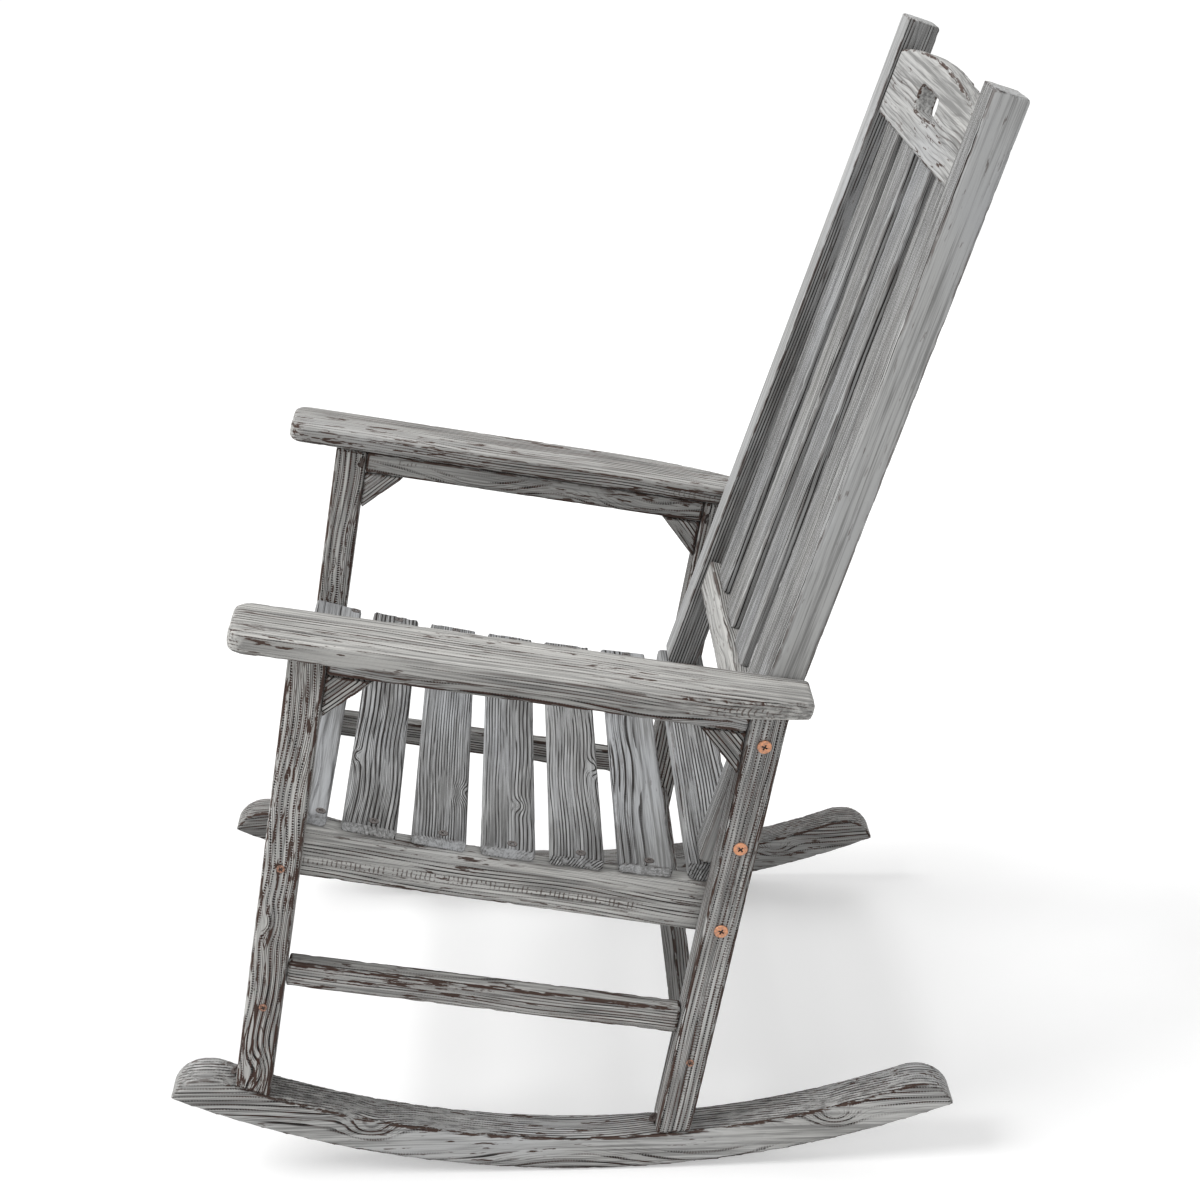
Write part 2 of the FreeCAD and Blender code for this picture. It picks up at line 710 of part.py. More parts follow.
# Lean the chair into its rest pose about the line where the runners touch the floor, then slide it
# along the floor until the origin is under the middle of its length.
for shape in pieces.values():
    shape.rotate(vec(0, 0, 0), vec(1, 0, 0), -restTilt)
boxes = [shape.optimalBoundingBox(False, False) for shape in pieces.values()]
shift = vec(0, -(min(b.YMin for b in boxes) + max(b.YMax for b in boxes)) / 2, 0)
for name, shape in pieces.items():
    shape.translate(shift)
    shape.exportStep("parts/%s.step" % name)
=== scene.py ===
import json
import math
import random

import bpy
import numpy as np
from mathutils import Matrix, Quaternion, Vector, noise


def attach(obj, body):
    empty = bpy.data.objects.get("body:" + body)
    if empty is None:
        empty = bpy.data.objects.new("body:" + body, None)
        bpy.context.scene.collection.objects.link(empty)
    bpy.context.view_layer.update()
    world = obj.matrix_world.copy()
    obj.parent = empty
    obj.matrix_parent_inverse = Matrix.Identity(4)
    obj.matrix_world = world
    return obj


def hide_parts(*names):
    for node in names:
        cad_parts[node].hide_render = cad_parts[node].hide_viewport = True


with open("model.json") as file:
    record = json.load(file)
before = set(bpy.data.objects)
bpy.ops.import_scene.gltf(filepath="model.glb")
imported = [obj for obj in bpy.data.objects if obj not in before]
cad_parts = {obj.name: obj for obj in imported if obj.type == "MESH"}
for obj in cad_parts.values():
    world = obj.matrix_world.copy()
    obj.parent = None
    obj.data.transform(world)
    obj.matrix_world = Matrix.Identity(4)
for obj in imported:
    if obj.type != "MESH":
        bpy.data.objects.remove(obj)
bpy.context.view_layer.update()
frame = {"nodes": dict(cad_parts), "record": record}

print("frame loaded:", len(frame["nodes"]), "nodes")


# Camera, lights and floor

view = {
    "place": (2.08703, -0.03255, 1.5123),
    "turn": (65.587, 0.0, 87.813),
    "lens": 60.0,
    "sensor": 36.0,
    "nearest": 0.05,
}

pureWhite = (1.0, 1.0, 1.0, 1.0)
studio = {
    "aimPoint": (0.0, 0.0, 0.55),
    "floorSize": 30.0,
    "floorColour": (0.72, 0.72, 0.72, 1.0),
    "floorGlow": 0.34,
    "backdropWhite": 1.0,
    "skyLight": 0.36,
    "keyPlace": (0.3, -2.5, 3.1),
    "keySpread": 28.0,
    "keyPower": 2.75,
    "fillPlace": (3.0, 0.6, 1.9),
    "fillSize": 2.4,
    "fillPower": 30.0,
    "backPlace": (-2.2, 1.0, 2.6),
    "backSize": 2.0,
    "backPower": 30.0,
}


def addCamera():
    turn = [math.radians(angle) for angle in view["turn"]]
    bpy.ops.object.camera_add(location=view["place"], rotation=turn)
    camera = bpy.context.active_object
    camera.data.lens = view["lens"]
    camera.data.sensor_width = view["sensor"]
    camera.data.clip_start = view["nearest"]
    camera.data.dof.use_dof = False
    bpy.context.scene.camera = camera


def aimLamp(lamp):
    aim = Vector(studio["aimPoint"]) - lamp.location
    lamp.rotation_euler = aim.to_track_quat("-Z", "Y").to_euler()


def addKeyLight():
    # a sun, so that the floor is evenly lit, and a wide one, so that the shadows are soft
    bpy.ops.object.light_add(type="SUN", location=studio["keyPlace"])
    lamp = bpy.context.active_object
    lamp.name = "keyLight"
    lamp.data.angle = math.radians(studio["keySpread"])
    lamp.data.energy = studio["keyPower"]
    aimLamp(lamp)


def addAreaLight(name, place, size, power):
    bpy.ops.object.light_add(type="AREA", location=place)
    lamp = bpy.context.active_object
    lamp.name = name
    lamp.data.size = size
    lamp.data.energy = power
    aimLamp(lamp)


class Wire:
    # one output socket; Python's operators on it add Math nodes
    def __init__(self, tree, socket):
        self.tree = tree
        self.socket = socket

    def maths(self, operation, a, b):
        return node(self.tree, "ShaderNodeMath", {"operation": operation}, {0: a, 1: b})

    def __add__(self, other):
        return self.maths("ADD", self, other)

    def __sub__(self, other):
        return self.maths("SUBTRACT", self, other)

    def __rsub__(self, other):
        return self.maths("SUBTRACT", other, self)

    def __mul__(self, other):
        return self.maths("MULTIPLY", self, other)

    def fraction(self):
        return self.maths("FRACT", self, 0.0)

    def most(self, other):
        return self.maths("MAXIMUM", self, other)

    def step(self, low, high, start=0.0, end=1.0):
        settings = {"interpolation_type": "SMOOTHSTEP"}
        inputs = {"Value": self, "From Min": low, "From Max": high, "To Min": start, "To Max": end}
        return node(self.tree, "ShaderNodeMapRange", settings, inputs)


def node(tree, kind, settings, inputs, output=0):
    made = tree.nodes.new(kind)
    for name, value in settings.items():
        setattr(made, name, value)
    for name, value in inputs.items():
        if isinstance(value, Wire):
            tree.links.new(value.socket, made.inputs[name])
        else:
            made.inputs[name].default_value = value
    return None if output is None else Wire(tree, made.outputs[output])


def newMaterial(name):
    material = bpy.data.materials.new(name)
    material.use_nodes = True
    material.node_tree.nodes.clear()
    return material, material.node_tree


def addFloor():
    bpy.ops.mesh.primitive_plane_add(size=studio["floorSize"], location=(0.0, 0.0, 0.0))
    floor = bpy.context.active_object
    floor.name = "studioFloor"
    material, tree = newMaterial("paleFloor")
    matt = node(tree, "ShaderNodeBsdfDiffuse", {}, {"Color": studio["floorColour"]})
    glow = node(tree, "ShaderNodeEmission", {}, {"Color": pureWhite, "Strength": studio["floorGlow"]})
    camera = node(tree, "ShaderNodeLightPath", {}, {}, "Is Camera Ray")
    both = node(tree, "ShaderNodeAddShader", {}, {0: matt, 1: glow})
    seen = node(tree, "ShaderNodeMixShader", {}, {0: camera, 1: matt, 2: both})
    node(tree, "ShaderNodeOutputMaterial", {}, {"Surface": seen}, None)
    floor.data.materials.append(material)


def lightWorld():
    world = bpy.data.worlds.new("studioWorld")
    bpy.context.scene.world = world
    world.use_nodes = True
    tree = world.node_tree
    tree.nodes.clear()
    sky = node(tree, "ShaderNodeBackground", {}, {"Color": pureWhite, "Strength": studio["skyLight"]})
    white = node(tree, "ShaderNodeBackground", {}, {"Color": pureWhite, "Strength": studio["backdropWhite"]})
    camera = node(tree, "ShaderNodeLightPath", {}, {}, "Is Camera Ray")
    glossy = node(tree, "ShaderNodeLightPath", {}, {}, "Is Glossy Ray")
    through = node(tree, "ShaderNodeLightPath", {}, {}, "Is Transmission Ray")
    mixed = node(tree, "ShaderNodeMixShader", {}, {0: camera.most(glossy).most(through), 1: sky, 2: white})
    node(tree, "ShaderNodeOutputWorld", {}, {"Surface": mixed}, None)


addCamera()
lightWorld()
addFloor()
addKeyLight()
addAreaLight("fillLight", studio["fillPlace"], studio["fillSize"], studio["fillPower"])
addAreaLight("backLight", studio["backPlace"], studio["backSize"], studio["backPower"])
bpy.context.scene.view_settings.view_transform = "Standard"
print("camera, lights and floor ready")


# Weathered, grey-washed softwood

washedWood = {
    "warmPaint": (0.57, 0.563, 0.54, 1.0),
    "coolPaint": (0.455, 0.467, 0.485, 1.0),
    # dimPaint: the dark of streaks in the wash, and the colour a low paleness darkens towards, which on the sides
    # and far pieces is painted shade
    "dimPaint": (0.135, 0.135, 0.132, 1.0),
    # groove colours: the grooves' own dark tone and dirt, deepened with painted shade for their hollows
    "grooveDark": (0.016, 0.014, 0.013, 1.0),
    "grooveBrown": (0.055, 0.030, 0.024, 1.0),
    "wornBrown": (0.064, 0.042, 0.034, 1.0),
    "ringWaver": 0.6,
    "fineLines": 0.5,
    "beadPitch": 0.0031,
    "beadJitter": 1.6,
    "tickJitter": 0.6,
    "tickDark": 0.75,
    "streakDark": 0.78,
    "relief": 0.0009,
    "reliefStrength": 0.8,
    "roughness": 0.74,
    "specular": 0.22,
}

# each noise of the wood: scale along, across and through the grain, detail and roughness
grainNoise = {
    "waver": ((9.0, 120.0, 120.0), 2.0, 0.5),
    "yearTone": ((1.2, 150.0, 150.0), 1.0, 0.5),
    "breaks": ((7.0, 110.0, 110.0), 3.0, 0.5),
    "patches": ((3.0, 20.0, 20.0), 2.0, 0.5),
    "jitter": ((90.0, 190.0, 190.0), 1.0, 0.5),
    "fibres": ((22.0, 900.0, 900.0), 2.0, 0.6),
    "streaks": ((6.0, 300.0, 300.0), 2.0, 0.6),
    "blotch": ((4.0, 13.0, 13.0), 3.0, 0.5),
    "chips": ((34.0, 230.0, 230.0), 3.0, 0.6),
}


def noiseOf(tree, vector, kind):
    scale, detail, roughness = grainNoise[kind]
    place = node(tree, "ShaderNodeVectorMath", {"operation": "MULTIPLY"}, {0: vector, 1: scale})
    return node(tree, "ShaderNodeTexNoise", {"noise_dimensions": "3D"},
                {"Vector": place, "Scale": 1.0, "Detail": detail, "Roughness": roughness})


def mixColour(tree, share, a, b):
    return node(tree, "ShaderNodeMix", {"data_type": "RGBA"}, {0: share, 6: a, 7: b}, output=2)


def partsOf(tree, vector):
    split = node(tree, "ShaderNodeSeparateXYZ", {}, {0: vector}).socket.node
    return [Wire(tree, output) for output in split.outputs]


def attributeOf(tree, name, output):
    return node(tree, "ShaderNodeAttribute", {"attribute_name": name}, {}, output)


def makeWood():
    w = washedWood
    material, tree = newMaterial("washedWood")
    grain = attributeOf(tree, "grain", 1)
    ring = attributeOf(tree, "ring", 2)
    arris = attributeOf(tree, "arris", 2)
    grooving, browning, paleness = partsOf(tree, attributeOf(tree, "looks", 1))
    beading, coolness, lane = partsOf(tree, attributeOf(tree, "habit", 1))
    tick = attributeOf(tree, "tick", 2)
    along = partsOf(tree, grain)[0]

    # growth rings: a thin dark line where each year ends, and fainter ones between; their darkness is partly the
    # late wood's own tone and partly painted shade for the grooves worn into it
    waver = noiseOf(tree, grain, "waver")
    rings = ring + waver * w["ringWaver"]
    phase = rings.fraction()
    lateWood = phase.step(0.50, 0.80) * phase.step(1.0, 0.95)
    yearTone = noiseOf(tree, grain, "yearTone")
    finePhase = (rings * 3.0 + 0.4).fraction()
    fineLine = finePhase.step(0.55, 0.90) * finePhase.step(1.0, 0.93)

    # the brushed grooves come and go along the board, and break up into beads
    breaks = noiseOf(tree, grain, "breaks")
    patches = noiseOf(tree, grain, "patches")
    jitter = noiseOf(tree, grain, "jitter")
    beadPhase = (along * (1.0 / w["beadPitch"]) + jitter * w["beadJitter"]).fraction()
    bead = beadPhase.step(0.18, 0.42) * beadPhase.step(1.0, 0.78)
    beaded = patches.step(0.70, 0.46) * beading
    strength = breaks.step(0.33, 0.50) * yearTone.step(0.30, 0.60, 0.4, 1.0)
    strength = strength * patches.step(0.28, 0.52, 0.5, 1.0)
    groove = lateWood * strength * (1.0 - beaded + beaded * bead) * grooving
    faint = fineLine * breaks.step(0.65, 0.45) * grooving * w["fineLines"]

    # short dashes across the grain, in a lane
    tickPhase = (tick + jitter * w["tickJitter"]).fraction()
    ticks = tickPhase.step(0.55, 0.72) * tickPhase.step(1.0, 0.90)
    ticks = ticks * jitter.step(0.38, 0.50) * lane * patches.step(0.34, 0.56)

    # fibres, rubbed edges and small chips of the wash
    fibres = noiseOf(tree, grain, "fibres")
    streaks = noiseOf(tree, grain, "streaks")
    blotch = noiseOf(tree, grain, "blotch")
    chips = noiseOf(tree, grain, "chips")
    edgeWear = arris.step(0.42, 0.80) * chips.step(0.42, 0.54) * patches.step(0.34, 0.5, 0.3, 1.0)
    flatWear = (chips + browning * 0.06).step(0.63, 0.69) * blotch.step(0.44, 0.58)
    worn = edgeWear.most(flatWear) * browning

    tint = (coolness + (blotch - 0.5) * 0.9).step(0.05, 0.95)
    paint = mixColour(tree, tint, w["warmPaint"], w["coolPaint"])
    streak = fibres * 0.25 + streaks * 0.5 + blotch * 0.25
    paint = mixColour(tree, streak.step(0.58, 0.38) * w["streakDark"], paint, w["dimPaint"])
    # a low paleness darkens towards dimPaint: the board's own tone, and painted shade on the sides and far pieces
    paint = mixColour(tree, paleness, w["dimPaint"], paint)
    paint = mixColour(tree, worn.step(0.05, 0.7), paint, w["wornBrown"])
    brownShare = (chips.step(0.35, 0.6) * browning).step(0.2, 0.9)
    # the grooves' colour is partly their own dark late wood and dirt, partly painted shade for the hollow of each
    # groove, which the bump doesn't cast
    grooveColour = mixColour(tree, brownShare, w["grooveDark"], w["grooveBrown"])
    colour = mixColour(tree, groove.most(faint).step(0.02, 0.58), paint, grooveColour)
    colour = mixColour(tree, ticks.step(0.1, 0.8) * w["tickDark"], colour, w["wornBrown"])

    dark = groove.most(ticks).most(faint)
    rough = fibres * 0.2 + (w["roughness"] - 0.1) + dark * 0.12
    height = 1.0 - dark * 0.85 + fibres * 0.20 - worn * 0.25
    bump = node(tree, "ShaderNodeBump", {},
                {"Strength": w["reliefStrength"], "Distance": w["relief"], "Height": height})
    shell = node(tree, "ShaderNodeBsdfPrincipled", {},
                 {"Base Color": colour, "Roughness": rough, "Normal": bump, "Specular IOR Level": w["specular"]})
    node(tree, "ShaderNodeOutputMaterial", {}, {"Surface": shell}, None)
    return material


fastenerMetal = {
    "bright": (0.74, 0.34, 0.18, 1.0),
    "dull": (0.46, 0.24, 0.16, 1.0),
    "rust": (0.060, 0.040, 0.032, 1.0),
    # hollow: near black, used for rust spots and as painted shade in the driver recesses
    "hollow": (0.018, 0.014, 0.013, 1.0),
    "relief": 0.0002,
    "reliefStrength": 0.35,
    "smoothest": 0.28,
    "roughRange": 0.3,
}


def makeMetal(name, light, shade, metallic, smudges):
    material, tree = newMaterial(name)
    place = node(tree, "ShaderNodeTexCoord", {}, {}, "Object")
    smudge = node(tree, "ShaderNodeTexNoise", {}, {"Vector": place, "Scale": smudges, "Detail": 3.0})
    colour = mixColour(tree, smudge.step(0.38, 0.66), light, shade)
    rough = smudge * fastenerMetal["roughRange"] + fastenerMetal["smoothest"]
    bump = node(tree, "ShaderNodeBump", {}, {"Strength": fastenerMetal["reliefStrength"],
                                             "Distance": fastenerMetal["relief"], "Height": smudge})
    shell = node(tree, "ShaderNodeBsdfPrincipled", {},
                 {"Base Color": colour, "Roughness": rough, "Normal": bump, "Metallic": metallic})
    node(tree, "ShaderNodeOutputMaterial", {}, {"Surface": shell}, None)
    return material


washed = makeWood()
metals = {
    "copper": makeMetal("copperHead", fastenerMetal["bright"], fastenerMetal["dull"], 0.35, 420.0),
    "dulled": makeMetal("dulledHead", fastenerMetal["dull"], fastenerMetal["rust"], 0.3, 600.0),
    "rusty": makeMetal("rustyHead", fastenerMetal["rust"], fastenerMetal["hollow"], 0.1, 700.0),
    "hollow": makeMetal("recessPaintedShade", fastenerMetal["hollow"], fastenerMetal["rust"], 0.0, 900.0),
}
print("materials ready")


# Boards: each is grown from its CAD solid as an even mesh, then worn by small vertex moves

boards = {
    "voxel": 0.0024,
    "chipDepth": 0.0011,
    "edgeRound": 0.0004,
    "unevenness": 0.00035,
    "unevenPace": (9, 30, 30),
    "chipPace": (70, 90, 90),
    "chipFrom": 0.12,
    "chipGain": 2.2,
    "flatBend": 60.0,
    "bendRange": 240.0,
}

# along, across and through each kind of board, in the frame where it lies flat
grainOf = {
    "runner_wood": ((0, 1, 0), (0, 0, 1), (1, 0, 0)),
    "leg_wood": ((0, 0, 1), (0, 1, 0), (1, 0, 0)),
    "lengthwise_wood": ((0, 1, 0), (1, 0, 0), (0, 0, 1)),
    "crosswise_wood": ((1, 0, 0), (0, 1, 0), (0, 0, 1)),
    "back_wood": ((0, 0, 1), (1, 0, 0), (0, 1, 0)),
    "block_wood": ((0, 1, 1), (0, 1, -1), (1, 0, 0)),
}

# how a board looks. groove, brown, pale, bead, cool: strength of the grooves, of brown wear, paleness, beads and
# cool tint; pale is the board's own tone, and on the far runner and far apron also painted shade; heart: the
# middle of its log, across and through from the board's; rings: their width; wander, over: how far the rings
# stray, and over what length; ends: grooves left on the end faces; side: paleness left on the faces that point
# across, which is painted shade on those sides; quiet: a face with few grooves, and the share left; knots: place
# along, across, size; lanes of short dashes: across or through, middle, half width, start, end, pitch, bulge
plainLook = {"groove": 0.85, "brown": 0.6, "pale": 0.95, "bead": 0.2, "cool": 0.4, "heart": (0.05, -0.045),
             "wander": 0.003, "over": 0.22, "lanes": (), "knots": (), "quiet": None, "rings": 0.0036,
             "ends": 0.3, "side": 1.0}
looksOf = {
    "runner": {"groove": 1.0, "brown": 0.85, "cool": 0.3, "heart": (-0.02, 0.09), "wander": 0.004, "over": 0.3,
        "knots": ((-0.215, 0.0, 0.014), (0.3, 0.0, 0.012)), "bead": 0.4},
    "front_leg": {"groove": 1.5, "brown": 1.2, "pale": 1.0, "bead": 1.0, "cool": 0.15, "heart": (0.045, -0.02),
        "wander": 0.003, "over": 0.2, "rings": 0.0046, "knots": ((-0.05, -0.004, 0.01), (-0.24, 0.004, 0.013))},
    "rear_leg": {"groove": 1.3, "brown": 0.9, "pale": 0.9, "bead": 0.85, "cool": 0.3, "heart": (0.06, -0.05),
        "wander": 0.0016, "over": 0.3, "rings": 0.0034,
        "lanes": (("across", 0.0, 0.003, -0.25, 0.28, 0.004, 0.0),
                  ("across", 0.011, 0.003, -0.1, 0.2, 0.004, 0.0))},
    "armrest": {"side": 0.78, "groove": 0.62, "brown": 0.9, "pale": 1.0, "cool": 0.12, "heart": (0.05, -0.06),
        "wander": 0.0025, "over": 0.3, "rings": 0.0034,
        "lanes": (("through", -0.002, 0.006, 0.17, 0.32, 0.0065, -0.003),)},
    "arm_apron": {"groove": 1.0, "brown": 0.9, "pale": 0.7, "cool": 0.2, "heart": (0.07, 0.02), "bead": 0.4,
        "lanes": (("through", 0.006, 0.003, -0.2, 0.15, 0.005, 0.0),)},
    "side_stretcher": {"groove": 1.1, "brown": 0.9, "cool": 0.3, "heart": (0.01, 0.06), "wander": 0.003,
        "over": 0.25},
    "seat_rail": {"groove": 0.8, "brown": 0.75, "pale": 1.0, "cool": 0.2, "heart": (-0.01, -0.1),
        "wander": 0.004, "over": 0.3, "rings": 0.0045,
        "lanes": (("through", -0.012, 0.0055, -0.24, 0.17, 0.005, 0.0),)},
    "cross_stretcher": {"groove": 1.0, "brown": 0.8, "pale": 0.6, "cool": 0.2, "heart": (0.05, 0.03)},
    "front_seat_rail": {"pale": 0.8, "heart": (0.05, 0.03)},
    "seat_slat": {"groove": 1.05, "brown": 0.3, "pale": 0.82, "cool": 0.7, "wander": 0.0014, "over": 0.25,
        "heart": (0.045, -0.025), "rings": 0.0031},
    "seat_slat_1": {"groove": 0.6, "heart": (0.03, -0.04)},
    "seat_slat_2": {"groove": 1.3, "heart": (-0.045, -0.02), "rings": 0.0044,
        "knots": ((0.12, -0.026, 0.008),)},
    "seat_slat_3": {"groove": 0.9, "pale": 0.88, "heart": (-0.05, -0.02), "rings": 0.0026,
        "knots": ((0.16, 0.022, 0.01),)},
    "seat_slat_4": {"knots": ((0.17, 0.012, 0.008),)},
    "seat_slat_5": {"ends": 1.2, "knots": ((0.06, 0.027, 0.01),)},
    "seat_slat_6": {"heart": (0.02, -0.05), "rings": 0.0036},
    "seat_slat_7": {"ends": 1.2, "heart": (0.05, -0.02)},
    "back_stile": {"side": 0.7, "groove": 1.0, "brown": 0.5, "pale": 0.92, "cool": 0.45, "heart": (-0.09, 0.0),
        "wander": 0.002, "over": 0.6, "rings": 0.0034, "quiet": ((1, 0, 0), 0.22)},
    "back_stile_right": {"heart": (0.0, -0.09), "quiet": ((0, -1, 0), 0.3)},
    "back_slat": {"side": 0.55, "groove": 1.1, "brown": 0.3, "pale": 1.0, "cool": 0.5, "heart": (0.05, -0.03),
        "wander": 0.0015, "over": 0.5, "rings": 0.0038},
    "crest_rail": {"groove": 0.34, "brown": 0.7, "pale": 0.92, "cool": 0.35, "heart": (-0.05, 0.03),
        "wander": 0.002, "over": 0.14, "rings": 0.0038},
    "lower_back_rail": {"groove": 0.8, "brown": 0.5, "cool": 0.1, "heart": (0.04, 0.02), "rings": 0.003},
    # painted shade: the low pale of runner_right and arm_apron_right darkens the far runner and the far apron,
    # standing in for the shade they lie in
    "runner_right": {"pale": 0.6},
    "armrest_right": {"pale": 0.84},
    "arm_apron_right": {"pale": 0.6},
    "corner_block": {"groove": 1.1, "brown": 1.0, "pale": 0.75, "cool": 0.25, "heart": (0.05, 0.0)},
}


def lookOf(name):
    # a later name in looksOf wins over an earlier one
    look = dict(plainLook)
    for start, changes in looksOf.items():
        if name.startswith(start):
            look.update(changes)
    return look


def leanOf(mesh, first, second, other):
    # the turn of the largest faces in the plane of two axes, between -45 and 45 degrees
    areas = {}
    for face in mesh.polygons:
        if abs(face.normal[other]) > 0.05:
            continue
        angle = math.degrees(math.atan2(face.normal[second], face.normal[first])) % 90.0
        key = round(angle, 1)
        areas[key] = areas.get(key, 0.0) + face.area
    best = max(areas, key=areas.get)
    return math.radians(best - 90.0 if best > 45.0 else best)


def selectOnly(thing):
    bpy.ops.object.select_all(action="DESELECT")
    bpy.context.view_layer.objects.active = thing
    thing.select_set(True)


def copyOfSolid(name, newName):
    solid = frame["nodes"][name]
    made = solid.copy()
    made.data = solid.data.copy()
    made.name = newName
    made.parent = None
    made.matrix_world = Matrix.Identity(4)
    for key in list(made.keys()):
        if key.startswith("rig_"):
            del made[key]
    bpy.context.scene.collection.objects.link(made)
    selectOnly(made)
    bpy.ops.object.mode_set(mode="EDIT")
    bpy.ops.mesh.select_all(action="SELECT")
    bpy.ops.mesh.remove_doubles(threshold=0.00001)
    bpy.ops.object.mode_set(mode="OBJECT")
    return made


def grownBoard(name, slot):
    board = copyOfSolid(name, name + "_worn")
    lean = 0.0 if slot == "runner_wood" else leanOf(board.data, 1, 2, 0)
    flat = Matrix.Rotation(-lean, 4, "X")
    board.data.transform(flat)
    if slot == "back_wood":
        sideways = Matrix.Rotation(leanOf(board.data, 0, 2, 1), 4, "Y")
        board.data.transform(sideways)
        flat = sideways @ flat
    even = board.modifiers.new("evenMesh", "REMESH")
    even.mode = "VOXEL"
    even.voxel_size = boards["voxel"]
    even.adaptivity = 0.0
    even.use_smooth_shade = True
    bpy.ops.object.modifier_apply(modifier=even.name)
    wearBoard(board, name, slot)
    board.data.transform(flat.inverted())
    board.data.materials.clear()
    board.data.materials.append(washed)
    for face in board.data.polygons:
        face.use_smooth = True
    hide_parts(name)
    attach(board, "root")


def sharpness(mesh, places, normals):
    # how strongly the surface turns away at each vertex, 0 on flats and 1 on an arris
    ends = np.zeros(len(mesh.edges) * 2, dtype=np.int32)
    mesh.edges.foreach_get("vertices", ends)
    ends = ends.reshape(-1, 2)
    run = places[ends[:, 1]] - places[ends[:, 0]]
    turn = normals[ends[:, 1]] - normals[ends[:, 0]]
    bend = (run * turn).sum(1) / np.maximum((run * run).sum(1), 1e-12)
    curve = np.zeros(len(places))
    np.maximum.at(curve, ends[:, 0], bend)
    np.maximum.at(curve, ends[:, 1], bend)
    return np.clip((curve - boards["flatBend"]) / boards["bendRange"], 0.0, 1.0)


def ringField(look, dice):
    # the distance from the heart, bent by slow waves and by knots, as a function of place
    heart = [side * dice.uniform(0.85, 1.15) for side in look["heart"]]
    slopes = [dice.uniform(-0.012, 0.012) for i in range(2)]
    waves = [(dice.uniform(3.0, 9.0) / look["over"], dice.uniform(-20.0, 20.0), dice.uniform(0.0, 6.28))
             for i in range(5)]

    def radiusAt(local):
        across = local[:, 1] - heart[0] - slopes[0] * local[:, 0]
        through = local[:, 2] - heart[1] - slopes[1] * local[:, 0]
        radius = np.sqrt(across ** 2 + through ** 2)
        for pace, lean, start in waves:
            turn = pace * local[:, 0] + lean * (local[:, 1] + local[:, 2]) + start
            radius = radius + look["wander"] / 3.0 * np.sin(turn)
        for place, side, size in look["knots"]:
            near = ((local[:, 0] - place) / (size * 1.8)) ** 2 + ((local[:, 1] - side) / size) ** 2
            radius = radius + size * 0.7 * np.exp(-near)
        return radius

    return radiusAt


def spreadOf(radiusAt, local, normals):
    # how fast the rings follow each other along the surface: near 0 the lines would be broad, so they fade
    step = 0.0008
    base = radiusAt(local)
    slope = np.zeros(local.shape)
    for i in range(3):
        moved = local.copy()
        moved[:, i] += step
        slope[:, i] = (radiusAt(moved) - base) / step
    slope -= (slope * normals).sum(1)[:, None] * normals
    return base, np.sqrt((slope ** 2).sum(1))


def lanesOf(local, look):
    # where short dashes cross the grain, and their count along the board; a bulge bends them into crescents
    laneFade = 0.03
    lane = np.zeros(len(local))
    tick = np.zeros(len(local))
    for way, middle, half, start, end, pitch, bulge in look["lanes"]:
        side = (local[:, 1] if way == "across" else local[:, 2]) - middle
        inside = np.clip((half - np.abs(side)) / 0.002 + 0.5, 0.0, 1.0)
        fade = np.clip((local[:, 0] - start) / laneFade, 0.0, 1.0)
        inside *= fade * np.clip((end - local[:, 0]) / laneFade, 0.0, 1.0)
        tick = np.where(inside > 0.0, (local[:, 0] + bulge * (side / half) ** 2) / pitch, tick)
        lane = np.maximum(lane, inside)
    return lane, tick


def addLayer(mesh, name, kind, values):
    layer = mesh.attributes.new(name, kind, "POINT")
    field = "value" if kind == "FLOAT" else "vector"
    layer.data.foreach_set(field, np.ascontiguousarray(values, dtype=np.float32).ravel())


